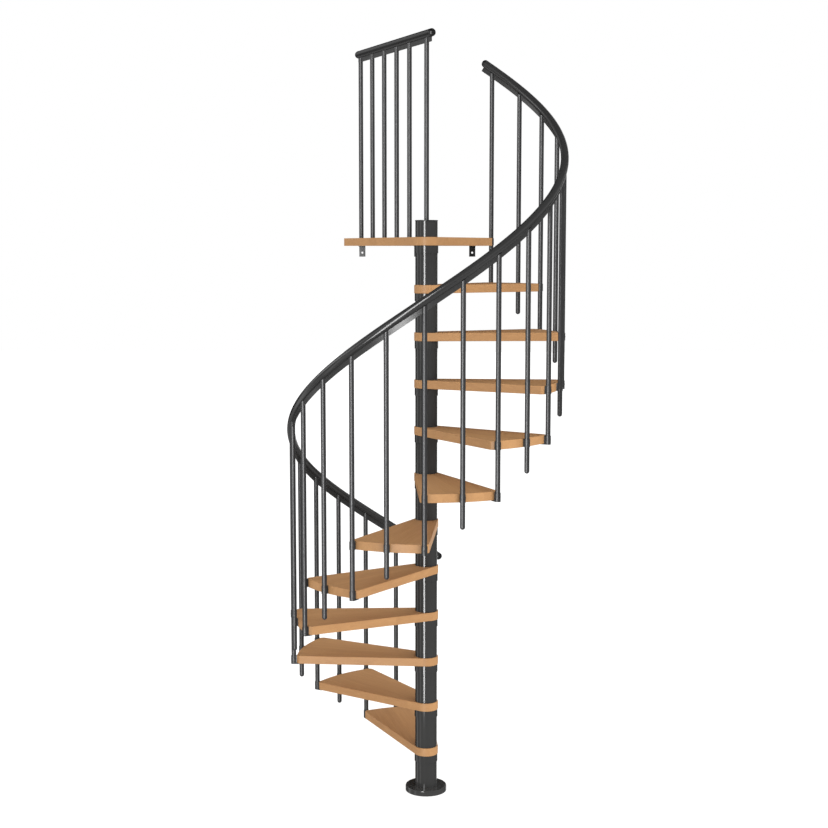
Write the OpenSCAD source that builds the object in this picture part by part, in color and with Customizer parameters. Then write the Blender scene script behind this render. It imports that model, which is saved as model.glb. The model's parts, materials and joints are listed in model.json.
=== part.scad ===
// Spiral staircase: a steel column of stacked sleeves, eleven wooden treads, a landing,
// a helical handrail on round balusters and a straight balustrade on the landing.
// Millimetres, +Z up. The origin is on the floor, at the column's axis. The stair climbs
// counter-clockwise seen from above, and the first tread starts at the +Y axis.

/* [Climb] */
// Height of one step
rise = 216; // [190:1:260]
// Turn of one step about the column, degrees
step_turn = 30; // [26:0.5:32]
// Radius of the circle that the handrail and the stair balusters stand on
rail_circle_r = 620; // [515:5:760]

/* [Treads] */
// Thickness of the treads and the landing
tread_t = 38; // [28:1:50]
// Diameter of the wooden hub at a tread's narrow end
hub_d = 112; // [110:1:140]
// How far a tread's outer corner reaches past its own step
tread_overlap = 20; // [10:1:35]
// Corner cut at a tread's outer corners
corner_cut = 12; // [4:1:20]
// Gap between a tread's outer edge and the balusters
edge_gap = 4; // [2:0.5:10]

/* [Column] */
// Outer diameter of the column sleeves
column_d = 101.6; // [80:0.1:105]
// Wall of the column sleeves
column_wall = 3; // [2:0.5:5]
// Outer diameter of the tube that the sleeves and treads are threaded on
core_d = 60; // [48:1:76]
// Wall of that tube
core_wall = 4; // [3:0.5:8]
// Height of the collar under each tread
collar_h = 35; // [15:1:60]
// How far the collar stands out from the sleeve
collar_wall = 3; // [1.5:0.5:4]
// Height of the sleeve that stands on the landing
top_sleeve_h = 71; // [40:1:120]
// Thickness of the column's top cap
cap_t = 5; // [3:0.5:10]

/* [Floor flange] */
// Diameter of the floor flange
flange_d = 180; // [176:1:182]
// Thickness of the floor flange
flange_t = 6; // [5:0.5:10]
// Diameter of the circle of floor bolts
floor_bolt_circle_d = 150; // [140:1:160]
// Diameter of a floor bolt hole
floor_bolt_d = 11; // [8:0.5:14]
// Diameter of the round cover over the flange and its bolts
cover_d = 192; // [190:1:260]
// Height of the cover
cover_h = 26; // [24:1:60]
// Thickness of the cover's wall
cover_wall = 3; // [1.5:0.5:3.5]

/* [Railing] */
// Height of the handrail's centre over the middle of each tread
rail_h = 920; // [800:5:1050]
// Diameter of the handrail
rail_d = 36; // [32:1:45]
// How far the handrail runs past its first baluster, at the foot
foot_overhang = 65; // [30:1:90]
// How far the handrail runs past its last baluster, at the head
head_overhang = 44; // [30:1:90]
// Thickness of the flat strip under the handrail
strip_t = 6; // [4:0.5:8]
// How far the strip shows under the handrail
strip_drop = 20; // [12:1:30]
// How deep the strip sits in the handrail's groove
groove_depth = 8; // [4:1:12]
// Clearance between the strip and the groove and slots that it sits in
strip_gap = 0.5; // [0.3:0.1:0.8]
// How far the strip stops short of the handrail's ends
strip_setback = 2; // [0:1:15]
// Diameter of the balusters
baluster_d = 22; // [18:1:25]
// Length of a middle baluster under its tread
baluster_tail = 114; // [40:1:160]

/* [Baluster clamps] */
// Outer diameter of the clamps that hold the balusters
clamp_d = 26; // [24:0.5:36]
// Height of a clamp
clamp_h = 34; // [20:1:38]
// Width of the arm between a clamp and its tread
clamp_arm_w = 16; // [10:1:20]
// Thickness of the lip under a tread's rear corner
lip_t = 4; // [3:0.5:8]
// How far the lip reaches under the tread
lip_reach = 16; // [10:1:40]

/* [Landing] */
// Distance from the column's axis to the landing's wall edge
landing_depth = 750; // [700:5:900]
// Distance from the column's axis to the left end of the wall edge
landing_left = 425; // [400:5:600]
// Direction of the landing's balustrade, degrees from the +X axis
landing_rail_turn = 116; // [112:0.5:120]
// Height of the balustrade's rail centre over the landing
landing_rail_h = 901; // [800:1:1050]
// Distance from the column's axis to the second landing baluster
landing_first_gap = 185; // [150:1:200]
// Spacing of the other landing balusters
landing_baluster_pitch = 144; // [100:1:150]
// How far the rail runs past the baluster on the column
landing_overhang_near = 51; // [30:1:100]
// How far the rail runs past the last landing baluster
landing_overhang_far = 26; // [20:1:80]

/* [Wall brackets] */
// Width of a wall bracket
bracket_w = 31; // [24:1:50]
// Height of a wall bracket
bracket_h = 54; // [40:1:90]
// Length of a bracket's leg under the landing
bracket_leg = 60; // [40:1:100]
// Thickness of a bracket
bracket_t = 4; // [3:0.5:8]
// Spacing of the wall brackets
bracket_pitch = 277; // [200:1:300]
// Diameter of a wall bolt hole
wall_bolt_d = 10; // [6:0.5:12]
// Distance from the landing's underside to a wall bolt
wall_bolt_drop = 34; // [20:1:40]

/* [Hidden] */
$fn = 64;

tread_count = 11;
first_turn = 90;
slack = 1;
// A tread's side edges cut this far into the hub's round, for a clean corner
hub_bite = 1;

column_r = column_d / 2;
core_r = core_d / 2;
hub_r = hub_d / 2;
baluster_r = baluster_d / 2;
rail_tube_r = rail_d / 2;
tread_r = rail_circle_r - baluster_r - edge_gap;
landing_z = rise * (tread_count + 1);
landing_under_z = landing_z - tread_t;
// The landing's right side stands as far from the last baluster as a tread's edge does
landing_right = rail_circle_r * cos(first_turn + tread_count * step_turn) - baluster_r - edge_gap;
column_top_z = landing_z + top_sleeve_h + cap_t;

// The rail climbs one rise along the arc of one step
rail_slope = atan(rise / (rail_circle_r * step_turn * PI / 180));
deg_per_mm = cos(rail_slope) * 180 / PI / rail_circle_r;
rail_start = first_turn - foot_overhang * deg_per_mm;
rail_end = first_turn + tread_count * step_turn + head_overhang * deg_per_mm;
ring_turn = step_turn / 6;
ring_count = tread_count * 6;
rail_parts = 4;

landing_baluster_count = 6;
landing_rail_far = landing_first_gap + (landing_baluster_count - 2) * landing_baluster_pitch
    + landing_overhang_far;

steel = [0.24, 0.24, 0.25];
wood = [0.80, 0.58, 0.38];

// Direction of the edge between tread i and tread i + 1
function step_edge(i) = first_turn + i * step_turn;

// Height of a tread's top, counted from 1, with the landing after the last tread
function tread_top(i) = rise * i;

// Height of the handrail's centre at a direction
function rail_z(turn) = rail_h + rise * (0.5 + (turn - first_turn) / step_turn);

// A point at a distance along a direction and a distance to the left of it
function beside(turn, along, left) =
    [along * cos(turn) - left * sin(turn), along * sin(turn) + left * cos(turn)];

// The point where a straight edge from a corner runs into the hub, side 1 left and -1 right
function hub_tangent(corner, side) =
    let (turn = atan2(corner.y, corner.x) + side * acos((hub_r - hub_bite) / norm(corner)))
    [(hub_r - hub_bite) * cos(turn), (hub_r - hub_bite) * sin(turn)];

// A ring of the handrail's profile, upright across the rail at a direction
function rail_ring(turn, profile) = [for (p = profile)
    let (flat = beside(turn, rail_circle_r + p.x, -p.y * sin(rail_slope)))
    [flat.x, flat.y, rail_z(turn) + p.y * cos(rail_slope)]];

// The handrail's profile: a round bar with a groove for the strip underneath
groove_half = strip_t / 2 + strip_gap;
groove_top = groove_depth - rail_tube_r + strip_gap;
groove_half_turn = asin(groove_half / rail_tube_r);
tube_profile = concat(
    [for (i = [0:20])
        let (turn = -90 + groove_half_turn + i * (360 - 2 * groove_half_turn) / 20)
        [rail_tube_r * cos(turn), rail_tube_r * sin(turn)]],
    [[-groove_half, groove_top], [groove_half, groove_top]]);
strip_profile = [
    [-strip_t / 2, -rail_tube_r - strip_drop], [strip_t / 2, -rail_tube_r - strip_drop],
    [strip_t / 2, groove_depth - rail_tube_r], [-strip_t / 2, groove_depth - rail_tube_r]];

// One closed solid that sweeps a profile through a list of directions
module rail_sweep(turns, profile) {
    rings = [for (turn = turns) rail_ring(turn, profile)];
    n = len(profile);
    last = len(turns) - 1;
    points = [for (ring = rings) each ring];
    sides = [for (i = [0:last - 1], j = [0:n - 1])
        let (next = (j + 1) % n)
        each [[i * n + j, i * n + next, (i + 1) * n + next],
            [i * n + j, (i + 1) * n + next, (i + 1) * n + j]]];
    caps = [[for (j = [n - 1:-1:0]) j], [for (j = [0:n - 1]) last * n + j]];
    polyhedron(points = points, faces = concat(sides, caps), convexity = 6);
}

module tube(outer_r, inner_r, height) {
    difference() {
        cylinder(r = outer_r, h = height);
        translate([0, 0, -slack]) cylinder(r = inner_r, h = height + 2 * slack);
    }
}

module floor_flange() {
    color(steel)
    difference() {
        cylinder(r = flange_d / 2, h = flange_t);
        for (i = [0:3]) rotate(75 + 90 * i) translate([floor_bolt_circle_d / 2, 0, -slack])
            cylinder(d = floor_bolt_d, h = flange_t + 2 * slack);
    }
}

// A cup that stands upside down on the floor, round the first sleeve
module base_cover() {
    color(steel)
    difference() {
        cylinder(r = cover_d / 2, h = cover_h);
        translate([0, 0, -slack])
            cylinder(r = cover_d / 2 - cover_wall, h = cover_h - cover_wall + slack);
        translate([0, 0, -slack]) cylinder(r = column_r, h = cover_h + 2 * slack);
    }
}

module core_tube() {
    color(steel)
    translate([0, 0, flange_t]) tube(core_r, core_r - core_wall, column_top_z - cap_t - flange_t);
}

// One sleeve stands on the flange or on the tread below and carries the tread above
module column_sleeves() {
    color(steel)
    for (i = [0:tread_count + 1]) {
        foot = i == 0 ? flange_t : tread_top(i);
        head = i > tread_count ? landing_z + top_sleeve_h : tread_top(i + 1) - tread_t;
        translate([0, 0, foot]) tube(column_r, column_r - column_wall, head - foot);
    }
}

module column_collars() {
    color(steel)
    for (i = [1:tread_count + 1])
        translate([0, 0, tread_top(i) - tread_t - collar_h])
        tube(column_r + collar_wall, column_r, collar_h);
}

module column_cap() {
    color(steel)
    translate([0, 0, column_top_z - cap_t]) cylinder(r = column_r + 1, h = cap_t);
}

module hub_and_bore(top) {
    difference() {
        union() {
            translate([0, 0, top - tread_t]) cylinder(r = hub_r, h = tread_t);
            children();
        }
        translate([0, 0, top - tread_t - slack]) cylinder(r = core_r, h = tread_t + 2 * slack);
    }
}

module tread(i) {
    front = step_edge(i - 1);
    back = step_edge(i);
    front_corner = beside(front, tread_r - corner_cut, -tread_overlap);
    back_corner = beside(back, tread_r - corner_cut, tread_overlap);
    color(wood)
    hub_and_bore(tread_top(i))
    translate([0, 0, tread_top(i) - tread_t])
    intersection() {
        linear_extrude(tread_t) polygon([
            hub_tangent(front_corner, -1),
            front_corner,
            front_corner + beside(front, 2 * corner_cut, 2 * corner_cut),
            beside((front + back) / 2, tread_r * 1.3, 0),
            back_corner + beside(back, 2 * corner_cut, -2 * corner_cut),
            back_corner,
            hub_tangent(back_corner, 1)]);
        cylinder(r = tread_r, h = tread_t);
    }
}

// The landing starts at the last step's edge and ends at the wall
module landing() {
    edge = step_edge(tread_count);
    front_corner = beside(edge, tread_r - corner_cut, -tread_overlap);
    face_start = beside(edge, tread_r, corner_cut - tread_overlap);
    face_y = face_start.y + (face_start.x - landing_right) / tan(edge);
    wall_corner = [-landing_left, landing_depth];
    color(wood)
    hub_and_bore(landing_z)
    translate([0, 0, landing_under_z])
    linear_extrude(tread_t) polygon([
        hub_tangent(front_corner, -1),
        front_corner,
        face_start,
        [landing_right, face_y],
        [landing_right, landing_depth],
        wall_corner,
        hub_tangent(wall_corner, 1)]);
}

module wall_brackets() {
    middle = (landing_right - landing_left) / 2;
    color(steel)
    for (i = [-1:1])
        translate([middle + i * bracket_pitch, landing_depth, landing_under_z])
        difference() {
            union() {
                translate([-bracket_w / 2, -bracket_t, -bracket_h])
                    cube([bracket_w, bracket_t, bracket_h]);
                translate([-bracket_w / 2, -bracket_leg, -bracket_t])
                    cube([bracket_w, bracket_leg, bracket_t]);
            }
            translate([0, slack, -wall_bolt_drop]) rotate([90, 0, 0])
                cylinder(d = wall_bolt_d, h = bracket_t + 2 * slack);
        }
}

// A baluster under the helical rail, with a slot in its top for the strip
module stair_baluster(turn, foot) {
    rotate(turn) translate([rail_circle_r, 0, 0])
    difference() {
        translate([0, 0, foot]) cylinder(r = baluster_r, h = rail_z(turn) - foot);
        translate([0, 0, rail_z(turn)]) rotate([rail_slope, 0, 0]) {
            translate([-rail_d, -rail_d, -rail_tube_r]) cube([2 * rail_d, 2 * rail_d, 2 * rail_d]);
            translate([-groove_half, -rail_d, -rail_tube_r - strip_drop - strip_gap])
                cube([2 * groove_half, 2 * rail_d, rail_d]);
        }
    }
}

// A long baluster joins the front corner of one tread to the rear corner of the tread below
module junction_balusters() {
    color(steel)
    for (i = [0:tread_count])
        stair_baluster(step_edge(i), tread_top(max(i, 1)) - tread_t);
}

// A middle baluster hangs below its tread and ends in a round tip
module middle_balusters() {
    color(steel)
    for (i = [1:tread_count]) {
        turn = step_edge(i - 0.5);
        tip = tread_top(i) - tread_t - baluster_tail + baluster_r;
        union() {
            stair_baluster(turn, tip);
            rotate(turn) translate([rail_circle_r, 0, tip]) sphere(r = baluster_r);
        }
    }
}

// A clamp around a baluster, with an arm to the tread's outer edge
module clamp(turn, top) {
    difference() {
        rotate(turn) translate([0, 0, top - clamp_h]) {
            translate([rail_circle_r, 0, 0]) cylinder(d = clamp_d, h = clamp_h);
            translate([tread_r - corner_cut, -clamp_arm_w / 2, 0])
                cube([rail_circle_r - tread_r + corner_cut, clamp_arm_w, clamp_h]);
        }
        translate([0, 0, top - clamp_h - slack])
            cylinder(r = tread_r, h = clamp_h + 2 * slack, $fn = 360);
        rotate(turn) translate([rail_circle_r, 0, top - clamp_h - slack])
            cylinder(r = baluster_r, h = clamp_h + 2 * slack);
    }
}

module upper_clamps() {
    color(steel)
    for (i = [0:tread_count]) clamp(step_edge(i), tread_top(i + 1) - (tread_t - clamp_h) / 2);
}

module middle_clamps() {
    color(steel)
    for (i = [1:tread_count]) clamp(step_edge(i - 0.5), tread_top(i) - (tread_t - clamp_h) / 2);
}

// A lower clamp has a lip that carries the tread's rear corner and the baluster's foot
module lower_clamps() {
    color(steel)
    for (i = [1:tread_count]) {
        under = tread_top(i) - tread_t;
        union() {
            clamp(step_edge(i), under + clamp_h);
            rotate(step_edge(i)) translate([0, 0, under - lip_t]) {
                translate([rail_circle_r, 0, 0]) cylinder(d = clamp_d, h = lip_t);
                translate([tread_r - lip_reach, -clamp_d / 2, 0])
                    cube([rail_circle_r - tread_r + lip_reach, clamp_d, lip_t]);
            }
        }
    }
}

// Directions of the rings from one end of a rail part to the other
function part_turns(first, last) = concat(
    first == 0 ? [rail_start] : [],
    [for (i = [first:last]) first_turn + i * ring_turn],
    last == ring_count ? [rail_end] : []);

module handrail(part) {
    first = round(ring_count * (part - 1) / rail_parts);
    last = round(ring_count * part / rail_parts);
    color(steel) rail_sweep(part_turns(first, last), tube_profile);
}

module rail_strip() {
    setback = strip_setback * deg_per_mm;
    turns = concat([rail_start + setback],
        [for (i = [0:ring_count]) first_turn + i * ring_turn], [rail_end - setback]);
    color(steel) rail_sweep(turns, strip_profile);
}

module dome() {
    intersection() {
        sphere(r = rail_tube_r);
        translate([-rail_d, 0, -rail_d]) cube([2 * rail_d, rail_d, 2 * rail_d]);
    }
}

// Round caps on the four ends of the two rails
module rail_end_caps() {
    color(steel) {
        rotate(rail_start) translate([rail_circle_r, 0, rail_z(rail_start)])
            rotate([rail_slope, 0, 0]) rotate(180) dome();
        rotate(rail_end) translate([rail_circle_r, 0, rail_z(rail_end)])
            rotate([rail_slope, 0, 0]) dome();
        rotate(landing_rail_turn) translate([-landing_overhang_near, 0, landing_z + landing_rail_h])
            rotate(90) dome();
        rotate(landing_rail_turn) translate([landing_rail_far, 0, landing_z + landing_rail_h])
            rotate(-90) dome();
    }
}

module landing_rail() {
    length = landing_rail_far + landing_overhang_near;
    color(steel)
    rotate(landing_rail_turn) translate([-landing_overhang_near, 0, landing_z + landing_rail_h])
    difference() {
        rotate([0, 90, 0]) cylinder(r = rail_tube_r, h = length);
        translate([-slack, -groove_half, -rail_tube_r - slack])
            cube([length + 2 * slack, 2 * groove_half, groove_top + rail_tube_r + slack]);
    }
}

module landing_rail_strip() {
    length = landing_rail_far + landing_overhang_near - 2 * strip_setback;
    color(steel)
    rotate(landing_rail_turn)
    translate([strip_setback - landing_overhang_near, -strip_t / 2,
        landing_z + landing_rail_h - rail_tube_r - strip_drop])
        cube([length, strip_t, strip_drop + groove_depth]);
}

module landing_balusters() {
    color(steel)
    for (i = [0:landing_baluster_count - 1]) {
        along = i == 0 ? 0 : landing_first_gap + (i - 1) * landing_baluster_pitch;
        foot = i == 0 ? column_top_z : landing_z;
        head = landing_z + landing_rail_h - rail_tube_r;
        rotate(landing_rail_turn) translate([along, 0, 0])
        difference() {
            translate([0, 0, foot]) cylinder(r = baluster_r, h = head - foot);
            translate([-rail_d, -groove_half, head - strip_drop - strip_gap])
                cube([2 * rail_d, 2 * groove_half, rail_d]);
        }
    }
}

floor_flange();
base_cover();
core_tube();
column_sleeves();
column_collars();
column_cap();
tread(1);  // tread_01
tread(2);  // tread_02
tread(3);  // tread_03
tread(4);  // tread_04
tread(5);  // tread_05
tread(6);  // tread_06
tread(7);  // tread_07
tread(8);  // tread_08
tread(9);  // tread_09
tread(10);  // tread_10
tread(11);  // tread_11
landing();
wall_brackets();
junction_balusters();
middle_balusters();
upper_clamps();
lower_clamps();
middle_clamps();
handrail(1);  // handrail_1
handrail(2);  // handrail_2
handrail(3);  // handrail_3
handrail(4);  // handrail_4
rail_strip();
rail_end_caps();
landing_rail();
landing_rail_strip();
landing_balusters();
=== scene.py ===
"""Visual model of a steel and beech spiral staircase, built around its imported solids."""

import json
from math import atan, cos, pi, radians, sin, tau

import bmesh
import bpy
from mathutils import Matrix, Vector

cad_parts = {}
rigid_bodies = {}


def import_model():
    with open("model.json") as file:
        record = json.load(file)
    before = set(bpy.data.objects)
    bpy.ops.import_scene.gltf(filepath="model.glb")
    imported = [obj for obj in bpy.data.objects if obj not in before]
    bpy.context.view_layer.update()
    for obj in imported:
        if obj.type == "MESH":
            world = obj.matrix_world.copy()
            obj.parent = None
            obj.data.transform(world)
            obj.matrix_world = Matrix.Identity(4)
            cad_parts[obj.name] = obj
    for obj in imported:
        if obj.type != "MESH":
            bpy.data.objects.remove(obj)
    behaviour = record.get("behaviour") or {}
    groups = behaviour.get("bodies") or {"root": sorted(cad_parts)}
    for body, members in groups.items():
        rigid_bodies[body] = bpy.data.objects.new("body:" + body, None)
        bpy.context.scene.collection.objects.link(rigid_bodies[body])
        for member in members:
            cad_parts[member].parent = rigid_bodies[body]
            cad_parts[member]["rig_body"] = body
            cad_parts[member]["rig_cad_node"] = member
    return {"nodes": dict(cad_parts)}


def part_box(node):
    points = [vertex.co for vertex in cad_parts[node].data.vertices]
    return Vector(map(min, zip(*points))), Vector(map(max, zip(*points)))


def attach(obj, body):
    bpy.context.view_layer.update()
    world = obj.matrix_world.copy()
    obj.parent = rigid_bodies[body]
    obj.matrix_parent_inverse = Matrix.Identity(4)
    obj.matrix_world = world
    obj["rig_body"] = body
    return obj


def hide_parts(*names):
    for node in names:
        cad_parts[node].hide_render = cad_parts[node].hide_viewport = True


bl_info = {
    "name": "Spiral staircase",
    "version": (1, 0, 0),
    "blender": (4, 5, 0),
    "location": "3D View > Sidebar > Staircase",
    "description": "Builds the treads, column, railing and fixings of a spiral staircase",
    "category": "Add Mesh",
}

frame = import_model()
BODY = "root"
TREADS = [f"tread_{i:02d}" for i in range(1, 12)]
STEPS = len(TREADS) + 1  # the treads and the landing
STRIP_TOP = -0.0135  # upper edge of both flat strips, from their rail's centre
PAST = 0.01  # how far a cutter reaches past what it cuts

flange_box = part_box("floor_flange")
cover_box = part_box("base_cover")
tread_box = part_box("tread_01")
landing_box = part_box("landing")
sleeve_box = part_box("column_sleeves")
collar_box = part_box("column_collars")
cap_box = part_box("column_cap")
bracket_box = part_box("wall_brackets")


def length_property(name, description, default, low=0.0, high=5.0):
    return bpy.props.FloatProperty(
        name=name, description=description, default=default, min=low, max=high,
        precision=4, subtype="DISTANCE", unit="LENGTH")


def angle_property(name, description, default):
    return bpy.props.FloatProperty(
        name=name, description=description, default=default, subtype="ANGLE", unit="ROTATION")


def colour_property(name, description, default):
    return bpy.props.FloatVectorProperty(
        name=name, description=description, default=default, size=3, min=0.0, max=1.0,
        subtype="COLOR")


class StairSizes(bpy.types.PropertyGroup):
    """Sizes of the staircase that its pieces share."""

    rise: length_property("Rise", "Height of one step", tread_box[1].z)
    step_turn: angle_property("Step turn", "Turn of one step about the column", radians(30))
    first_turn: angle_property(
        "First turn", "Direction of the first tread's front edge", radians(90))
    rail_circle: length_property("Rail circle", "Radius of the circle of balusters", 0.620)
    rail_height: length_property(
        "Rail height", "Handrail's centre over a tread's middle", 0.920)
    rail_radius: length_property("Rail radius", "Radius of the handrail", 0.018)
    foot_overhang: length_property("Foot overhang", "Handrail past its first baluster", 0.065)
    head_overhang: length_property("Head overhang", "Handrail past its last baluster", 0.044)
    strip_thickness: length_property("Strip thickness", "Flat strip under the rail", 0.006)
    strip_drop: length_property("Strip drop", "How far the strip shows under the rail", 0.020)
    strip_setback: length_property("Strip setback", "Strip short of the rail's ends", 0.002)
    strip_gap: length_property("Strip gap", "Clearance in the slots for the strip", 0.0005)
    baluster_radius: length_property("Baluster radius", "Radius of the balusters", 0.011)
    baluster_tail: length_property("Baluster tail", "Middle baluster below its tread", 0.114)
    tread_thickness: length_property(
        "Tread thickness", "Thickness of treads and landing", tread_box[1].z - tread_box[0].z)
    tread_radius: length_property("Tread radius", "Radius of the treads' outer edge", 0.605)
    clamp_radius: length_property("Clamp radius", "Outer radius of a baluster clamp", 0.013)
    clamp_height: length_property("Clamp height", "Height of a baluster clamp", 0.034)
    clamp_arm: length_property("Clamp arm", "Width of a clamp's arm", 0.016)
    lip_thickness: length_property("Lip thickness", "Plate under a tread's rear corner", 0.004)
    lip_reach: length_property("Lip reach", "How far the plate goes under the tread", 0.016)
    landing_turn: angle_property("Landing turn", "Direction of the landing's rail", radians(116))
    landing_rail_height: length_property(
        "Landing rail height", "Rail's centre over the landing", 0.901)
    landing_near: length_property("Landing rail near end", "Rail past the column", 0.051)
    landing_far: length_property("Landing rail far end", "Rail's far end from the column", 0.787)
    landing_first: length_property("First landing gap", "Column to the next baluster", 0.185)
    landing_pitch: length_property("Landing pitch", "Spacing of landing balusters", 0.144)
    bracket_pitch: length_property("Bracket pitch", "Spacing of the wall brackets", 0.277)


class EdgeSizes(bpy.types.PropertyGroup):
    """Small roundings of the edges."""

    tread_round: length_property("Tread rounding", "Radius of the treads' edges", 0.0025)
    metal_round: length_property("Metal rounding", "Radius of the steel parts' edges", 0.0006)
    cap_round: length_property("Cap rounding", "Radius of the column cap's edge", 0.0012)
    cover_round: length_property(
        "Cover rounding", "Radius of the floor cover's upper edge", 0.005)


class StairColours(bpy.types.PropertyGroup):
    """Colours of the staircase's finishes."""

    coat: colour_property("Powder coat", "Anthracite coat on the column", (0.0385, 0.0385, 0.038))
    rail_coat: colour_property("Rail coat", "Anthracite coat on the rails", (0.028, 0.028, 0.028))
    tube_coat: colour_property(
        "Tube coat", "Metallic coat on balusters and clamps", (0.070, 0.070, 0.071))
    black: colour_property(
        "Black", "Black coat on brackets, caps and floor flange", (0.006, 0.006, 0.006))
    zinc: colour_property("Zinc", "Blackened zinc on bolts and screws", (0.05, 0.05, 0.052))
    beech_pale: colour_property(
        "Beech, pale", "Pale wood between the growth lines", (0.485, 0.266, 0.116))
    beech_dark: colour_property("Beech, dark", "Dark growth lines", (0.362, 0.188, 0.081))
    beech_fleck: colour_property(
        "Beech flecks", "Short rays across the grain", (0.23, 0.105, 0.042))


def sizes():
    return bpy.context.scene.stair_sizes


def edges():
    return bpy.context.scene.stair_edges


def colours():
    return bpy.context.scene.stair_colours


# Selecting, modelling and placing ------------------------------------------------------


def choose_only(*pieces):
    """Selects these objects and makes the first one active."""
    if bpy.context.object and bpy.context.object.mode != "OBJECT":
        bpy.ops.object.mode_set(mode="OBJECT")
    bpy.ops.object.select_all(action="DESELECT")
    for piece in pieces:
        piece.select_set(True)
    bpy.context.view_layer.objects.active = pieces[0]


def edit_elements(piece, kind, test):
    """Goes to edit mode on a piece and selects the vertices, edges or faces that pass a test."""
    choose_only(piece)
    bpy.ops.object.mode_set(mode="EDIT")
    bpy.ops.mesh.select_mode(type={"verts": "VERT", "edges": "EDGE", "faces": "FACE"}[kind])
    bpy.ops.mesh.select_all(action="DESELECT")
    mesh = bmesh.from_edit_mesh(piece.data)
    for element in getattr(mesh, kind):
        if test(element):
            element.select_set(True)
    mesh.select_flush_mode()
    bmesh.update_edit_mesh(piece.data)


def object_mode():
    bpy.ops.object.mode_set(mode="OBJECT")


def modify(piece, kind, **settings):
    """Adds a modifier to a piece with these settings and applies it."""
    choose_only(piece)
    bpy.ops.object.modifier_add(type=kind)
    modifier = piece.modifiers[-1]
    for name, value in settings.items():
        setattr(modifier, name, value)
    bpy.ops.object.modifier_apply(modifier=modifier.name)


def round_edges(piece, width, segments=2, angle=30):
    modify(piece, "BEVEL", width=width, segments=segments, limit_method="ANGLE",
           angle_limit=radians(angle), use_clamp_overlap=True, harden_normals=False)


def cut_away(piece, *cutters):
    """Takes the cutters' shapes out of a piece and removes the cutters."""
    for cutter in cutters:
        modify(piece, "BOOLEAN", operation="DIFFERENCE", object=cutter, solver="EXACT")
        bpy.data.objects.remove(cutter)


def add_to(piece, other):
    """Fuses another shape into a piece and removes the other."""
    modify(piece, "BOOLEAN", operation="UNION", object=other, solver="EXACT")
    bpy.data.objects.remove(other)


def settle(piece):
    """Moves a piece's place into its mesh, so that its object sits at the origin, unturned."""
    choose_only(piece)
    bpy.ops.object.transform_apply(location=True, rotation=True, scale=True)


def add_cylinder(radius, low, high, sides=48, at=(0.0, 0.0)):
    bpy.ops.mesh.primitive_cylinder_add(
        vertices=sides, radius=radius, depth=high - low, location=(*at, (low + high) / 2))
    piece = bpy.context.object
    settle(piece)
    return piece


def add_block(low, high):
    bpy.ops.mesh.primitive_cube_add(size=1.0, location=(Vector(low) + Vector(high)) / 2)
    piece = bpy.context.object
    piece.scale = Vector(high) - Vector(low)
    settle(piece)
    return piece


def copy_of(piece, place=None):
    """A copy with its own mesh, moved by a matrix."""
    copy = piece.copy()
    copy.data = piece.data.copy()
    bpy.context.scene.collection.objects.link(copy)
    if place is not None:
        copy.matrix_world = place @ copy.matrix_world
        settle(copy)
    return copy


def merge_copies(copies):
    choose_only(*copies)
    if len(copies) > 1:
        bpy.ops.object.join()
    return bpy.context.object


def around(turn, lift=0.0):
    """Turns a shape made on the +X axis to a direction and lifts it."""
    return Matrix.Translation((0.0, 0.0, lift)) @ Matrix.Rotation(turn, 4, "Z")


def mend_normals(piece):
    choose_only(piece)
    bpy.ops.object.mode_set(mode="EDIT")
    bpy.ops.mesh.select_all(action="SELECT")
    bpy.ops.mesh.remove_doubles(threshold=0.00001)
    bpy.ops.mesh.normals_make_consistent(inside=False)
    object_mode()


def hand_over(piece, name, finish, nodes=(), smooth=32):
    """Names a finished piece, gives it its finish and ties it to the frame."""
    settle(piece)
    bpy.ops.object.shade_smooth_by_angle(angle=radians(smooth))
    modify(piece, "WEIGHTED_NORMAL", mode="FACE_AREA", weight=80, keep_sharp=True)
    piece.name = name
    piece.data.name = name
    piece.data.materials.clear()
    piece.data.materials.append(finish)
    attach(piece, BODY)
    if nodes:
        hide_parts(*nodes)
    return piece


# Finishes --------------------------------------------------------------------------------


class Value:
    """A socket's value that adds its own Math nodes when it is used in an expression."""

    def __init__(self, finish, socket):
        self.finish = finish
        self.socket = socket

    def maths(self, operation, first, second):
        return self.finish.node("Math", {"operation": operation}, {0: first, 1: second})["Value"]

    def __add__(self, other):
        return self.maths("ADD", self, other)

    __radd__ = __add__

    def __sub__(self, other):
        return self.maths("SUBTRACT", self, other)

    def __rsub__(self, other):
        return self.maths("SUBTRACT", other, self)

    def __mul__(self, other):
        return self.maths("MULTIPLY", self, other)

    __rmul__ = __mul__

    def __truediv__(self, other):
        return self.maths("DIVIDE", self, other)


class Outputs:
    """The outputs of a node, by name."""

    def __init__(self, finish, node):
        self.finish = finish
        self.node = node

    def __getitem__(self, name):
        return Value(self.finish, self.node.outputs[name])


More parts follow.
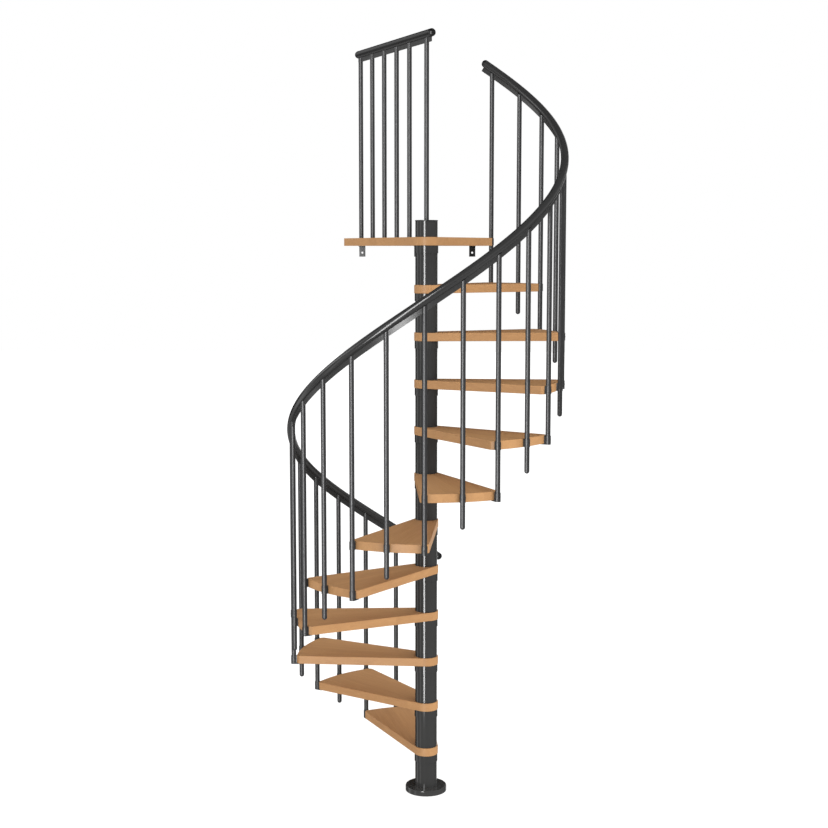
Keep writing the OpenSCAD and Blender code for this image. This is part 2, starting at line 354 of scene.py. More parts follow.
class Finish:
    """A material and its nodes."""

    def __init__(self, name, tree=None):
        if tree is None:
            self.material = bpy.data.materials.new(name)
            self.material.use_nodes = True
            tree = self.material.node_tree
        self.tree = tree
        self.tree.nodes.clear()

    def node(self, kind, settings=None, sockets=None):
        """Adds a node, sets its settings and ramp stops, then its sockets' values or links."""
        node = self.tree.nodes.new("ShaderNode" + kind)
        for name, value in (settings or {}).items():
            if name == "stops":
                self.set_stops(node.color_ramp.elements, value)
            else:
                setattr(node, name, value)
        for name, value in (sockets or {}).items():
            if isinstance(value, Value):
                self.tree.links.new(value.socket, node.inputs[name])
            else:
                node.inputs[name].default_value = value
        return Outputs(self, node)

    def set_stops(self, elements, stops):
        while len(elements) < len(stops):
            elements.new(0.5)
        for element, (position, colour) in zip(elements, stops):
            element.position = position
            element.color = (*colour, 1.0)

    def blend(self, factor, first, second):
        """Mixes two colours by a factor."""
        mix = self.node("Mix", {"data_type": "RGBA", "clamp_factor": True})
        for index, value in ((0, factor), (6, first), (7, second)):
            if isinstance(value, Value):
                self.tree.links.new(value.socket, mix.node.inputs[index])
            elif index:
                mix.node.inputs[index].default_value = (*value, 1.0)
            else:
                mix.node.inputs[index].default_value = value
        return Value(self, mix.node.outputs[2])

    def ramp(self, value, *stops, easing="LINEAR"):
        """A grey value that follows the stops (position, level)."""
        steps = [(position, (level, level, level)) for position, level in stops]
        ramp = self.node("ValToRGB", {"stops": steps}, {"Fac": value})
        ramp.node.color_ramp.interpolation = easing
        return ramp["Color"]

    def place(self, turn=0.0, scale=(1.0, 1.0, 1.0), offset=(0.0, 0.0, 0.0)):
        """Object coordinates, turned about the column and stretched."""
        point = self.node("TexCoord")["Object"]
        turned = self.node("Mapping", {"vector_type": "POINT"}, {
            "Vector": point, "Rotation": (0.0, 0.0, turn), "Location": offset})["Vector"]
        return self.node("Mapping", {"vector_type": "POINT"}, {
            "Vector": turned, "Scale": scale})["Vector"]

    def noise(self, vector, scale, detail=2.0, roughness=0.5, distortion=0.0):
        return self.node("TexNoise", {"noise_dimensions": "3D"}, {
            "Vector": vector, "Scale": scale, "Detail": detail, "Roughness": roughness,
            "Distortion": distortion})["Fac"]

    def surface(self, colour, roughness, bump=None, bump_depth=0.0001, **shader):
        """The finished surface, with a bump where one is given."""
        sockets = {"Base Color": colour, "Roughness": roughness}
        for name, value in shader.items():
            sockets[name.replace("_", " ")] = value
        if bump is not None:
            sockets["Normal"] = self.node("Bump", None, {
                "Strength": 1.0, "Distance": bump_depth, "Height": bump})["Normal"]
        principled = self.node("BsdfPrincipled", None, sockets)
        self.node("OutputMaterial", None, {"Surface": principled["BSDF"]})
        return self.material


def powder_coat(name, colour, base_roughness, metal=0.0):
    """Sprayed and baked coat: a slight orange peel, a faint cloudiness and fine specks."""
    peel_depth = 0.0000015
    finish = Finish(name)
    point = finish.place()
    cloud = finish.noise(point, 7.0, 3.0, 0.55)
    peel_waves = finish.noise(point, 300.0, 2.0, 0.5)
    speck = finish.noise(point, 1400.0, 1.0, 0.5)
    tone = finish.ramp(cloud * 0.6 + speck * 0.4, (0.35, 0.0), (0.65, 1.0))
    light = tuple(min(1.0, part * 1.06) for part in colour)
    dark = tuple(part * 0.94 for part in colour)
    shade = finish.blend(tone, dark, light)
    roughness = base_roughness + (cloud - 0.5) * base_roughness * 0.25
    return finish.surface(
        shade, roughness, peel_waves, peel_depth, Specular_IOR_Level=0.5, Metallic=metal)


def beech(name, turn, seed):
    """Laminated beech with its staves along a direction, fine lines, short flecks and lacquer."""
    tint = colours()
    finish = Finish(name)
    along = finish.place(-turn, offset=(seed * 1.37, seed * 0.61, seed * 0.23))
    parts = finish.node("SeparateXYZ", None, {"Vector": along})
    warp = finish.noise(finish.place(-turn, (1.6, 9.0, 9.0), (seed, 0.0, 0.0)), 1.0, 2.0, 0.5)
    stave = finish.node("Math", {"operation": "FLOOR"}, {0: parts["Y"] / 0.046 + seed})["Value"]
    drift = finish.node("TexWhiteNoise", {"noise_dimensions": "1D"}, {"W": stave})["Value"]
    shifted = finish.node("CombineXYZ", None, {
        "X": parts["X"] * 1.0 + drift * 3.0, "Y": parts["Y"] + drift * 0.4,
        "Z": parts["Z"] + warp * 0.012})["Vector"]
    long_grain = finish.node("Mapping", {"vector_type": "POINT"}, {
        "Vector": shifted, "Scale": (2.2, 60.0, 60.0)})["Vector"]
    fine_grain = finish.node("Mapping", {"vector_type": "POINT"}, {
        "Vector": shifted, "Scale": (9.0, 420.0, 420.0)})["Vector"]
    fleck_grain = finish.node("Mapping", {"vector_type": "POINT"}, {
        "Vector": shifted, "Scale": (110.0, 900.0, 900.0)})["Vector"]
    growth = finish.noise(long_grain, 1.0, 4.0, 0.6, 0.6)
    lines = finish.noise(fine_grain, 1.0, 3.0, 0.6)
    fleck = finish.noise(fleck_grain, 1.0, 1.0, 0.4)
    bands = finish.ramp(growth, (0.30, 0.0), (0.52, 0.55), (0.72, 1.0), easing="EASE")
    streaks = finish.ramp(lines, (0.36, 0.0), (0.66, 1.0))
    marks = finish.ramp(fleck, (0.66, 0.0), (0.74, 1.0))
    depth = bands * 0.44 + streaks * 0.28 + (drift - 0.5) * 0.26 + 0.10
    wood = finish.blend(depth, tuple(tint.beech_pale), tuple(tint.beech_dark))
    wood = finish.blend(marks * 0.42, wood, tuple(tint.beech_fleck))
    roughness = 0.40 + streaks * 0.08 + marks * 0.06
    relief = 1.0 - (streaks * 0.5 + marks * 0.5)
    return finish.surface(wood, roughness, relief, 0.00006, Specular_IOR_Level=0.15,
                          Coat_Roughness=0.25, Coat_Weight=0.02)


def make_finishes():
    """All finishes of the staircase but the wood's, by name."""
    tint = colours()
    coat, black = tuple(tint.coat), tuple(tint.black)
    return {
        "column": powder_coat("column_coat", coat, 0.08),
        "cover": powder_coat("cover_coat", coat, 0.10),
        "baluster": powder_coat("baluster_coat", tuple(tint.tube_coat), 0.42, metal=0.7),
        "rail": powder_coat("rail_coat", tuple(tint.rail_coat), 0.18),
        "strip": powder_coat("strip_coat", tuple(tint.rail_coat), 0.30),
        "black": powder_coat("black_coat", black, 0.34),
        "bolt": powder_coat("bolt_zinc", tuple(tint.zinc), 0.30, metal=0.9),
    }


FINISHES = {}


def finish_of(name):
    if not FINISHES:
        FINISHES.update(make_finishes())
    return FINISHES[name]


# Column ----------------------------------------------------------------------------------


class STAIR_OT_column(bpy.types.Operator):
    """Sleeves, collars and cap of the column"""

    bl_idname = "stair.column"
    bl_label = "Column"

    def execute(self, context):
        size = sizes()
        radius = sleeve_box[1].x
        bore = 0.0478
        collar_height = 0.035
        under = size.rise - size.tread_thickness
        heights = [(flange_box[1].z, under)]
        heights += [(size.rise * i, under + size.rise * i) for i in range(1, STEPS)]
        heights.append((landing_box[1].z, cap_box[0].z))
        sleeves = []
        for low, high in heights:
            sleeve = add_cylinder(radius, low, high, 96)
            cut_away(sleeve, add_cylinder(bore, low - PAST, high + PAST, 96))
            round_edges(sleeve, edges().metal_round, 2, 60)
            sleeves.append(sleeve)
        hand_over(merge_copies(sleeves), "sleeves", finish_of("column"),
                  ["column_sleeves"])

        collar = add_cylinder(collar_box[1].x, under - collar_height, under, 96)
        cut_away(collar, add_cylinder(radius + 0.00005, under - 0.1, under + 0.1, 96))
        round_edges(collar, edges().metal_round, 3, 60)
        collars = [collar] + [copy_of(collar, around(0.0, size.rise * i)) for i in range(1, STEPS)]
        hand_over(merge_copies(collars), "collars", finish_of("column"),
                  ["column_collars"])

        cap = add_cylinder(cap_box[1].x, cap_box[0].z, cap_box[1].z, 96)
        round_edges(cap, edges().cap_round, 4, 60)
        hand_over(cap, "cap", finish_of("black"), ["column_cap"])
        frame["nodes"]["core_tube"].data.materials.clear()
        frame["nodes"]["core_tube"].data.materials.append(finish_of("column"))
        return {"FINISHED"}


class STAIR_OT_flange(bpy.types.Operator):
    """Floor flange, its four anchor bolts and the round cover over them"""

    bl_idname = "stair.flange"
    bl_label = "Floor flange and cover"

    def execute(self, context):
        bolt_circle, bolt_radius, hole_radius = 0.075, 0.005, 0.0055
        washer_radius, washer_height = 0.0105, 0.002
        head_radius, head_height = 0.0092, 0.0065
        turns = [radians(75 + 90 * i) for i in range(4)]
        flange = add_cylinder(flange_box[1].x, 0.0, flange_box[1].z, 128)
        round_edges(flange, edges().metal_round, 2, 60)
        holes = [add_cylinder(hole_radius, -PAST, flange_box[1].z + PAST, 32,
                              (bolt_circle * cos(t), bolt_circle * sin(t))) for t in turns]
        cut_away(flange, *holes)
        hand_over(flange, "flange", finish_of("black"), ["floor_flange"])

        top = flange_box[1].z
        seat = top + washer_height
        washer = add_cylinder(washer_radius, top, seat, 40, (bolt_circle, 0.0))
        round_edges(washer, 0.0004, 2, 60)
        head = add_cylinder(head_radius, seat, seat + head_height, 6, (bolt_circle, 0.0))
        round_edges(head, 0.0007, 2, 30)
        shank = add_cylinder(bolt_radius, 0.0005, top + 0.001, 32, (bolt_circle, 0.0))
        bolt = merge_copies([washer, head, shank])
        bolts = [copy_of(bolt, around(t)) for t in turns]
        bpy.data.objects.remove(bolt)
        hand_over(merge_copies(bolts), "floor_bolts", finish_of("bolt"))

        height, wall = cover_box[1].z, 0.003
        cover = add_cylinder(cover_box[1].x, 0.0, height, 160)
        edit_elements(cover, "edges", lambda edge: all(v.co.z > height - 1e-5 for v in edge.verts))
        bpy.ops.mesh.bevel(offset=edges().cover_round, segments=6, affect="EDGES")
        object_mode()
        edit_elements(cover, "edges", lambda edge: all(v.co.z < 1e-5 for v in edge.verts))
        bpy.ops.mesh.bevel(offset=edges().metal_round, segments=2, affect="EDGES")
        object_mode()
        inside = add_cylinder(cover_box[1].x - wall, -0.01, height - wall, 160)
        cut_away(cover, inside, add_cylinder(sleeve_box[1].x + 0.0002, -0.02, height + 0.01, 96))
        hand_over(cover, "cover", finish_of("cover"), ["base_cover"], 25)
        return {"FINISHED"}


# Treads and landing ----------------------------------------------------------------------


def soften_board(node, name, finish):
    """A copy of a packed board with clean faces and rounded edges."""
    board = copy_of(frame["nodes"][node])
    board.parent = None
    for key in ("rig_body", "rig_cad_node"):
        del board[key]
    choose_only(board)
    bpy.ops.object.mode_set(mode="EDIT")
    bpy.ops.mesh.select_all(action="SELECT")
    bpy.ops.mesh.remove_doubles(threshold=0.00002)
    bpy.ops.mesh.dissolve_limited(angle_limit=radians(0.4))
    object_mode()
    round_edges(board, edges().tread_round, 4, 40)
    board.visible_glossy = False
    return hand_over(board, name, finish, [node], 30)


class STAIR_OT_treads(bpy.types.Operator):
    """Eleven wedge treads and the landing"""

    bl_idname = "stair.treads"
    bl_label = "Treads and landing"

    def execute(self, context):
        size = sizes()
        for index, node in enumerate(TREADS):
            turn = size.first_turn + (index + 0.5) * size.step_turn
            number = index + 1
            soften_board(node, f"board_{number:02d}", beech(f"beech_{number:02d}", turn, number))
        soften_board("landing", "landing_board", beech("beech_landing", radians(-4.0), STEPS))
        return {"FINISHED"}


# Railing ---------------------------------------------------------------------------------


def rail_slope():
    size = sizes()
    return atan(size.rise / (size.rail_circle * size.step_turn))


def rail_level(turn):
    """Height of the handrail's centre at a direction."""
    size = sizes()
    return size.rail_height + size.rise * (0.5 + (turn - size.first_turn) / size.step_turn)


def rail_ends(setback=0.0):
    """Directions of the handrail's foot and head, each moved in by a setback."""
    size = sizes()
    turn_per_metre = cos(rail_slope()) / size.rail_circle
    foot = size.first_turn - (size.foot_overhang - setback) * turn_per_metre
    head = size.first_turn + len(TREADS) * size.step_turn
    return foot, head + (size.head_overhang - setback) * turn_per_metre


def sweep_along_rail(profile, start, end, steps):
    """Turns a closed profile round the column while it climbs, and closes its ends."""
    climb = sizes().rise / sizes().step_turn * (end - start)
    modify(profile, "SCREW", axis="Z", angle=end - start, screw_offset=climb, steps=steps,
           render_steps=steps, use_smooth_shade=True, use_merge_vertices=False,
           use_normal_calculate=True)
    edit_elements(profile, "edges", lambda edge: edge.is_boundary)
    bpy.ops.mesh.edge_face_add()
    object_mode()
    mend_normals(profile)
    return profile


def upright_frame(turn, level, slope):
    """Matrix whose Z axis runs along the climbing rail at a direction."""
    size = sizes()
    base = around(turn) @ Matrix.Translation((size.rail_circle, 0.0, level))
    return base @ Matrix.Rotation(slope, 4, "X") @ Matrix.Rotation(-pi / 2, 4, "X")


def rail_circle_profile(turn, sides=48):
    bpy.ops.mesh.primitive_circle_add(
        vertices=sides, radius=sizes().rail_radius, fill_type="NOTHING")
    ring = bpy.context.object
    ring.matrix_world = upright_frame(turn, rail_level(turn), rail_slope())
    settle(ring)
    return ring


def strip_profile(place, low, high):
    """A flat rectangle with softened lower corners, upright in a rail's frame."""
    half = sizes().strip_thickness / 2
    bpy.ops.mesh.primitive_plane_add(size=1.0)
    flat = bpy.context.object
    flat.scale = (2 * half, high - low, 1.0)
    flat.location = (0.0, -(low + high) / 2, 0.0)
    settle(flat)
    edit_elements(flat, "verts", lambda corner: corner.co.y > -low - 0.0001)
    bpy.ops.mesh.bevel(offset=0.0008, segments=2, affect="VERTICES")
    bpy.ops.mesh.select_all(action="SELECT")
    bpy.ops.mesh.delete(type="ONLY_FACE")
    object_mode()
    flat.matrix_world = place
    settle(flat)
    return flat


def domed_cap(place):
    """A push-in end cap: a shallow dome behind a narrow groove."""
    radius = sizes().rail_radius
    bpy.ops.mesh.primitive_uv_sphere_add(segments=48, ring_count=24, radius=radius)
    cap = bpy.context.object
    neck = 0.0014
    edit_elements(cap, "faces", lambda face: True)
    bpy.ops.mesh.bisect(plane_co=(0.0, 0.0, 0.0), plane_no=(0.0, 0.0, 1.0), clear_inner=True,
                        use_fill=True)
    object_mode()
    cap.scale = (1.0, 1.0, (radius - neck) / radius)
    cap.location = (0.0, 0.0, neck)
    settle(cap)
    edit_elements(cap, "faces", lambda face: face.normal.z < -0.9 and len(face.verts) > 8)
    bpy.ops.mesh.inset(thickness=0.0012)
    bpy.ops.mesh.extrude_region_move(TRANSFORM_OT_translate={"value": (0.0, 0.0, -neck)})
    object_mode()
    cap.matrix_world = place
    settle(cap)
    return cap


class STAIR_OT_handrail(bpy.types.Operator):
    """Climbing handrail, its flat strip and the domed caps of both rails"""

    bl_idname = "stair.handrail"
    bl_label = "Handrail"

    def execute(self, context):
        size = sizes()
        slope = rail_slope()
        start, end = rail_ends()
        rail = sweep_along_rail(rail_circle_profile(start), start, end, 270)
        hand_over(rail, "handrail", finish_of("rail"),
                  [f"handrail_{i}" for i in range(1, 5)], 40)

        first, last = rail_ends(size.strip_setback)
        low = -size.rail_radius - size.strip_drop
        profile = strip_profile(upright_frame(first, rail_level(first), slope), low, STRIP_TOP)
        strip = sweep_along_rail(profile, first, last, 270)
        hand_over(strip, "strip", finish_of("strip"), ["rail_strip"], 40)

        level = landing_box[1].z + size.landing_rail_height
        along = Matrix.Rotation(size.landing_turn, 4, "Z")
        near = along @ Matrix.Translation((-size.landing_near, 0.0, level))
        far = along @ Matrix.Translation((size.landing_far, 0.0, level))
        caps = [
            domed_cap(upright_frame(start, rail_level(start), slope) @ Matrix.Rotation(pi, 4, "X")),
            domed_cap(upright_frame(end, rail_level(end), slope)),
            domed_cap(near @ Matrix.Rotation(-pi / 2, 4, "Y")),
            domed_cap(far @ Matrix.Rotation(pi / 2, 4, "Y")),
        ]
        hand_over(merge_copies(caps), "rail_caps", finish_of("black"),
                  ["rail_end_caps"], 40)
        return {"FINISHED"}


def slotted_baluster(head, slope, foot):
    """A round bar on the Z axis whose top is cut to the rail's slope and slotted for the strip."""
    size = sizes()
    bar = add_cylinder(size.baluster_radius, foot, head + 0.02, 40)
    tilt = Matrix.Translation((0.0, 0.0, head)) @ Matrix.Rotation(slope, 4, "X")
    half = size.strip_thickness / 2 + size.strip_gap
    above = add_block((-0.05, -0.05, -size.rail_radius), (0.05, 0.05, 0.05))
    slot = add_block((-half, -0.05, -size.rail_radius - size.strip_drop - size.strip_gap),
                     (half, 0.05, 0.0))
    for cutter in (above, slot):
        cutter.matrix_world = tilt
        settle(cutter)
    cut_away(bar, above, slot)
    return bar


def lengthen(bar, foot_now, foot):
    """Moves a bar's lower end to another height."""
    edit_elements(bar, "verts", lambda corner: corner.co.z < foot_now + 0.03)
    bpy.ops.transform.translate(value=(0.0, 0.0, foot - foot_now))
    object_mode()


def round_foot(bar, foot, width, segments):
    """Bevels the rim of a bar's lower end."""
    edit_elements(bar, "edges", lambda edge: all(v.co.z < foot + 0.001 for v in edge.verts))
    bpy.ops.mesh.bevel(offset=width, segments=segments, affect="EDGES")
    object_mode()


def stair_bar(master, turn, foot_now, foot):
    """A copy of a bar under the handrail at a direction, with its lower end at a height."""
    level = rail_level(turn)
    bar = copy_of(master)
    lengthen(bar, foot_now, foot - level)
    bar.matrix_world = around(turn, level) @ Matrix.Translation((sizes().rail_circle, 0, 0))
    settle(bar)
    return bar


class STAIR_OT_balusters(bpy.types.Operator):
    """Long and middle balusters of the stair and the landing's balusters"""

    bl_idname = "stair.balusters"
    bl_label = "Balusters"

    def execute(self, context):
        size = sizes()
        slope = rail_slope()
        reach = 0.5
        plain = slotted_baluster(0.0, slope, -reach)
        rounded = copy_of(plain)
        round_foot(plain, -reach, 0.0008, 2)
        round_foot(rounded, -reach, size.baluster_radius * 0.985, 7)

        long_bars, middle_bars = [], []
        for i in range(STEPS):
            foot = size.rise * max(i, 1) - size.tread_thickness
            turn = size.first_turn + i * size.step_turn
            long_bars.append(stair_bar(plain, turn, -reach, foot))
        for i in range(1, STEPS):
            foot = size.rise * i - size.tread_thickness - size.baluster_tail
            turn = size.first_turn + (i - 0.5) * size.step_turn
            middle_bars.append(stair_bar(rounded, turn, -reach, foot))
        for bar in (plain, rounded):
            bpy.data.objects.remove(bar)
        hand_over(merge_copies(long_bars), "long_balusters", finish_of("baluster"),
                  ["junction_balusters"], 40)
        hand_over(merge_copies(middle_bars), "middle_bars", finish_of("baluster"),
                  ["middle_balusters"], 40)

        level = landing_box[1].z + size.landing_rail_height
        square = slotted_baluster(0.0, 0.0, -reach)
        square.matrix_world = Matrix.Rotation(pi / 2, 4, "Z")
        settle(square)
        landing_bars = []
        for i in range(6):
            along = size.landing_first + (i - 1) * size.landing_pitch if i else 0.0
            foot = landing_box[1].z if i else cap_box[1].z
            bar = copy_of(square)
            lengthen(bar, -reach, foot - level)
            bar.matrix_world = around(size.landing_turn, level) @ Matrix.Translation((along, 0, 0))
            settle(bar)
            landing_bars.append(bar)
        bpy.data.objects.remove(square)
        hand_over(merge_copies(landing_bars), "landing_bars", finish_of("baluster"),
                  ["landing_balusters"], 40)
        return {"FINISHED"}


class STAIR_OT_landing_rail(bpy.types.Operator):
    """Straight rail along the landing and its flat strip"""

    bl_idname = "stair.landing_rail"
    bl_label = "Landing rail"

    def execute(self, context):
        size = sizes()
        level = landing_box[1].z + size.landing_rail_height
        place = around(size.landing_turn, level) @ Matrix.Rotation(pi / 2, 4, "Y")
        rail = add_cylinder(size.rail_radius, -size.landing_near, size.landing_far, 48)
        rail.matrix_world = place
        hand_over(rail, "landing_tube", finish_of("rail"), ["landing_rail"], 40)
        half = size.strip_thickness / 2
        strip = add_block(
            (size.strip_setback - size.landing_near, -half, -size.rail_radius - size.strip_drop),
            (size.landing_far - size.strip_setback, half, STRIP_TOP))
        round_edges(strip, edges().metal_round, 2, 60)
        strip.matrix_world = around(size.landing_turn, level)
        hand_over(strip, "landing_strip", finish_of("strip"),
                  ["landing_rail_strip"], 40)
        return {"FINISHED"}


# Clamps and brackets ---------------------------------------------------------------------


def clamp_shape(height):
    """A collar round a baluster with an arm to the tread's curved edge, from z = 0 up."""
    size = sizes()
    collar = add_cylinder(size.clamp_radius, 0.0, height, 48, (size.rail_circle, 0.0))
    arm = add_block((size.tread_radius - 0.012, -size.clamp_arm / 2, 0.0),
                    (size.rail_circle, size.clamp_arm / 2, height))
    add_to(collar, arm)
    return collar


def trim_clamp(clamp, low, high):
    """Cuts the tread's edge and the baluster's hole out of a clamp."""
    size = sizes()
    cut_away(clamp, add_cylinder(size.tread_radius, low, high, 360),
             add_cylinder(size.baluster_radius, low, high, 40, (size.rail_circle, 0.0)))


def set_screw(height):
    """A small socket screw in the outer side of a clamp."""
    size = sizes()
    outer = size.rail_circle + size.clamp_radius
    head = add_cylinder(0.0028, -0.0016, 0.0006, 20)
    cut_away(head, add_cylinder(0.0014, -0.0006, 0.01, 6))
    head.matrix_world = Matrix.Translation((outer, 0.0, height)) @ Matrix.Rotation(pi / 2, 4, "Y")
    settle(head)
    return head


class STAIR_OT_clamps(bpy.types.Operator):
    """Clamps that tie the balusters to the treads, with their set screws"""

    bl_idname = "stair.clamps"
    bl_label = "Baluster clamps"

    def execute(self, context):
        size = sizes()
        height = size.clamp_height
        inset = (size.tread_thickness - height) / 2
        plain = clamp_shape(height)
        trim_clamp(plain, -PAST, height + PAST)
        round_edges(plain, edges().metal_round, 2, 50)
        lipped = clamp_shape(height)
        trim_clamp(lipped, -PAST, height + PAST)
        lip = add_block(
            (size.tread_radius - size.lip_reach, -size.clamp_radius, -size.lip_thickness),
            (size.rail_circle, size.clamp_radius, 0.0))
        add_to(lip, add_cylinder(size.clamp_radius, -size.lip_thickness, 0.0, 48,
                                 (size.rail_circle, 0.0)))
        add_to(lipped, lip)
        round_edges(lipped, edges().metal_round, 2, 50)

        first, step = size.first_turn, size.step_turn
        upper_places = [around(first + i * step, size.rise * (i + 1) - inset - height)
                        for i in range(STEPS)]
        middle_places = [around(first + (i - 0.5) * step, size.rise * i - inset - height)
                         for i in range(1, STEPS)]
        lower_places = [around(first + i * step, size.rise * i - size.tread_thickness)
                        for i in range(1, STEPS)]
        upper = [copy_of(plain, place) for place in upper_places]
        middle = [copy_of(plain, place) for place in middle_places]
        lower = [copy_of(lipped, place) for place in lower_places]
        screw = set_screw(height / 2)
        screws = [copy_of(screw, place) for place in upper_places + middle_places + lower_places]
        for made in (plain, lipped, screw):
            bpy.data.objects.remove(made)
        hand_over(merge_copies(upper), "upper_collars", finish_of("baluster"),
                  ["upper_clamps"], 40)
        hand_over(merge_copies(middle), "middle_collars", finish_of("baluster"),
                  ["middle_clamps"], 40)
        hand_over(merge_copies(lower), "lower_collars", finish_of("baluster"),
                  ["lower_clamps"], 40)
        hand_over(merge_copies(screws), "set_screws", finish_of("bolt"), (), 40)
        return {"FINISHED"}


class STAIR_OT_brackets(bpy.types.Operator):
    """Angle brackets under the landing's wall edge, with their wood screws"""

    bl_idname = "stair.brackets"
    bl_label = "Wall brackets"

    def execute(self, context):
        thickness, leg, half = 0.004, 0.060, 0.0155
        hole_radius, hole_drop = 0.005, 0.034
        screw_radius, screw_height, screw_seat = 0.0042, 0.0016, 0.001
        wall = landing_box[1].y
        under = landing_box[0].z
        middle = (landing_box[0].x + landing_box[1].x) / 2
        centres = [middle + i * sizes().bracket_pitch for i in (-1, 0, 1)]
        made, screws = [], []
        for x in centres:
            bracket = add_block(
                (x - half, wall - thickness, bracket_box[0].z), (x + half, wall, under))
            flat = add_block((x - half, wall - leg, under - thickness), (x + half, wall, under))
            add_to(bracket, flat)
            edit_elements(bracket, "edges", lambda edge: all(
                abs(v.co.y - wall) < 1e-5 and abs(v.co.z - under) < 1e-5 for v in edge.verts))
            bpy.ops.mesh.bevel(offset=thickness * 0.9, segments=4, affect="EDGES")
            object_mode()
            hole = add_cylinder(hole_radius, -PAST, PAST, 32)
            hole.matrix_world = (Matrix.Translation((x, wall, under - hole_drop))
                                 @ Matrix.Rotation(pi / 2, 4, "X"))
            settle(hole)
            cut_away(bracket, hole)
            round_edges(bracket, 0.0005, 2, 40)
            made.append(bracket)
            for back in (0.020, 0.044):
                face = under - thickness
                head = add_cylinder(screw_radius, face - screw_height, face + screw_seat, 24,
                                    (x, wall - back))
                round_edges(head, 0.0009, 3, 60)
                screws.append(head)
        hand_over(merge_copies(made), "angle_brackets", finish_of("black"),
                  ["wall_brackets"], 40)
        hand_over(merge_copies(screws), "bracket_screws", finish_of("bolt"),
                  (), 40)
        return {"FINISHED"}


# Stage -----------------------------------------------------------------------------------


def studio_world():
    """White surroundings for the eye and the light, with panels that only gloss reflects."""
    world = bpy.data.worlds.new("studio")
    bpy.context.scene.world = world
    world.use_nodes = True
    world.cycles.sampling_method = "NONE"
    sky = Finish("studio", world.node_tree)
    path = sky.node("LightPath")
    ray = sky.node("SeparateXYZ", None, {"Vector": sky.node("TexCoord")["Generated"]})
    turn = sky.node("Math", {"operation": "ARCTAN2"}, {0: ray["Y"], 1: ray["X"]})["Value"]
    # Direction as a share of a turn that starts at -X and goes by -Y, +X and +Y
    share = turn / tau + 0.5
    panels = sky.ramp(
        share, (0.0, 0.16), (0.058, 0.16), (0.063, 0.90), (0.088, 0.90), (0.093, 0.18),
        (0.22, 0.18), (0.26, 0.07), (0.50, 0.06), (0.52, 0.0), (0.67, 0.0), (0.68, 1.0),
        (0.71, 1.0), (0.72, 0.0), (0.92, 0.0), (0.935, 0.80), (0.975, 0.80), (0.985, 0.16))
    side = sky.ramp(
        share, (0.0, 1.0), (0.045, 1.0), (0.065, 0.0), (0.925, 0.0), (0.945, 1.0), (1.0, 1.0))
    fill = sky.ramp(
        share, (0.06, 0.0), (0.065, 0.35), (0.62, 0.35), (0.64, 0.0), (0.82, 0.0), (0.84, 0.35),
        (0.92, 0.35), (0.94, 0.0))
    # Height of the direction: 0 straight down, 0.5 level and 1 straight up
    climb = ray["Z"] * 0.5 + 0.5
    overhead_dark = sky.ramp(climb, (0.72, 1.0), (0.80, 0.0))
    above = sky.ramp(climb, (0.5225, 0.0), (0.53, 1.0), (0.72, 1.0), (0.80, 0.0))
    below = sky.ramp(climb, (0.05, 0.0), (0.10, 1.0), (0.31, 1.0), (0.33, 0.0))
    low_band = sky.ramp(climb, (0.5225, 0.0), (0.53, 1.0), (0.64, 1.0), (0.67, 0.0))
    panels = panels * overhead_dark + fill * above + side * low_band * 2.0 + below * 0.3
    glossy = path["Is Glossy Ray"]
    camera = path["Is Camera Ray"]
    overhead = sky.node("Math", {"operation": "MAXIMUM"}, {0: ray["Z"], 1: 0.0})["Value"]
    diffuse = (1.0 - glossy) * (1.0 - camera) * (overhead * 0.75 + 0.86)
    light = sky.node("Background", None, {
        "Color": (1.0, 1.0, 1.0, 1.0), "Strength": camera + diffuse + panels * glossy})
    sky.node("OutputWorld", None, {"Surface": light["Background"]})


def area_light(name, place, aim, width, height, power):
    lamp = bpy.data.lights.new(name, "AREA")
    lamp.shape = "RECTANGLE"
    lamp.size = width
    lamp.size_y = height
    lamp.energy = power
    holder = bpy.data.objects.new(name, lamp)
    bpy.context.scene.collection.objects.link(holder)
    holder.location = place
    holder.rotation_euler = (Vector(aim) - Vector(place)).to_track_quat("-Z", "Y").to_euler()
    holder.visible_camera = False
    return holder


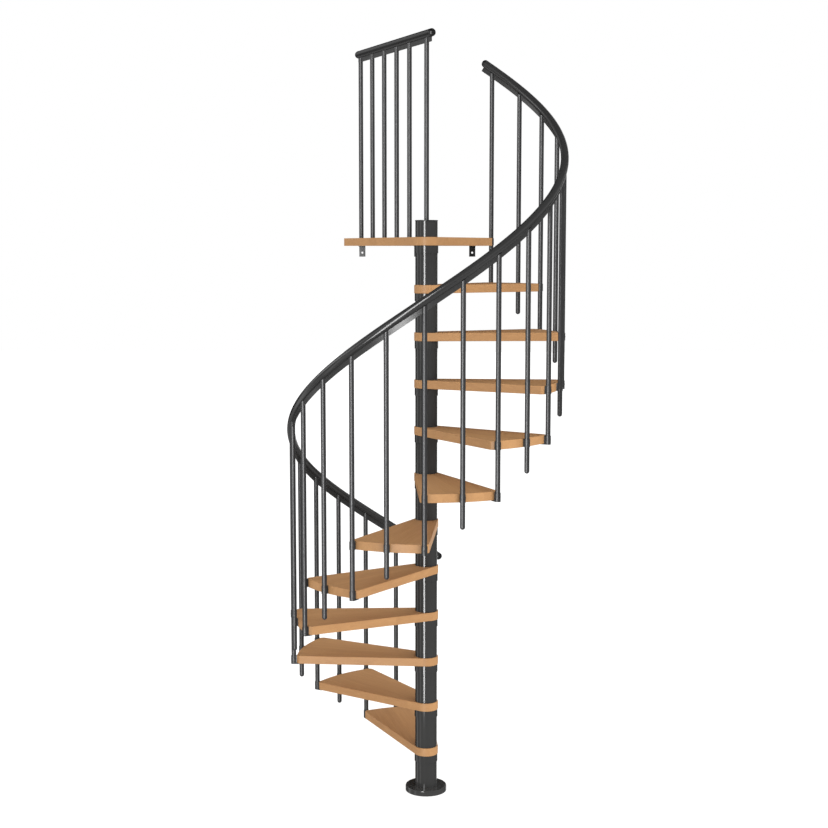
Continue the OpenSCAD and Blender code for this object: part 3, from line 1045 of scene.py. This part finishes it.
class STAIR_OT_stage(bpy.types.Operator):
    """Pale floor, soft studio light and the camera"""

    bl_idname = "stair.stage"
    bl_label = "Floor, light and camera"

    def execute(self, context):
        scene = context.scene
        scene.view_settings.view_transform = "Standard"
        studio_world()
        bpy.ops.mesh.primitive_plane_add(size=60.0, location=(0.0, 0.0, -0.0005))
        floor = bpy.context.object
        floor.name = "floor"
        floor.visible_glossy = False
        floor.visible_shadow = False
        paint = Finish("floor_paint")
        cloud = paint.noise(paint.place(), 0.8, 2.0)
        shade = paint.blend(cloud, (0.24, 0.24, 0.24), (0.28, 0.28, 0.28))
        floor.data.materials.append(paint.surface(
            shade, 0.9, Specular_IOR_Level=0.0, Emission_Color=(1.0, 1.0, 1.0, 1.0),
            Emission_Strength=0.86))

        turn = radians(-50.0)
        key = area_light("key", (6.5 * cos(turn), 6.5 * sin(turn), 1.9), (0.0, 0.0, 1.5),
                         3.6, 3.0, 172.0)
        key.visible_glossy = False
        turn = radians(-109.2)
        strip = area_light("strip", (4.2 * cos(turn), 4.2 * sin(turn), 2.06),
                           (0.0, 0.0, 2.06), 1.05, 5.88, 300.0)
        strip.visible_diffuse = False

        lens = bpy.data.cameras.new("camera")
        lens.lens = 64.2
        lens.sensor_width = 36.0
        lens.clip_end = 200.0
        camera = bpy.data.objects.new("camera", lens)
        scene.collection.objects.link(camera)
        camera.location = (0.081, -6.742, 2.535)
        camera.rotation_euler = (radians(90 - 6.35), 0.0, radians(1.17))
        scene.camera = camera
        return {"FINISHED"}


# Add-on ----------------------------------------------------------------------------------


class STAIR_PT_panel(bpy.types.Panel):
    """Lists the staircase's pieces and sizes"""

    bl_idname = "STAIR_PT_panel"
    bl_label = "Spiral staircase"
    bl_space_type = "VIEW_3D"
    bl_region_type = "UI"
    bl_category = "Staircase"

    def draw(self, context):
        for operator in OPERATORS:
            self.layout.operator(operator.bl_idname)
        for group in (sizes(), edges(), colours()):
            box = self.layout.box()
            for name in group.bl_rna.properties.keys():
                if name not in ("rna_type", "name"):
                    box.prop(group, name)


GROUPS = {"stair_sizes": StairSizes, "stair_edges": EdgeSizes, "stair_colours": StairColours}
OPERATORS = (STAIR_OT_column, STAIR_OT_flange, STAIR_OT_treads, STAIR_OT_handrail,
             STAIR_OT_balusters, STAIR_OT_landing_rail, STAIR_OT_clamps, STAIR_OT_brackets,
             STAIR_OT_stage)


def register():
    for group in GROUPS.values():
        bpy.utils.register_class(group)
    for name, group in GROUPS.items():
        setattr(bpy.types.Scene, name, bpy.props.PointerProperty(type=group))
    for kind in (*OPERATORS, STAIR_PT_panel):
        bpy.utils.register_class(kind)


def unregister():
    for kind in (STAIR_PT_panel, *reversed(OPERATORS)):
        bpy.utils.unregister_class(kind)
    for name in GROUPS:
        delattr(bpy.types.Scene, name)
    for group in GROUPS.values():
        bpy.utils.unregister_class(group)


def main():
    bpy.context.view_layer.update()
    register()
    for operator in OPERATORS:
        group, name = operator.bl_idname.split(".")
        getattr(getattr(bpy.ops, group), name)()


if __name__ == "__main__":
    main()
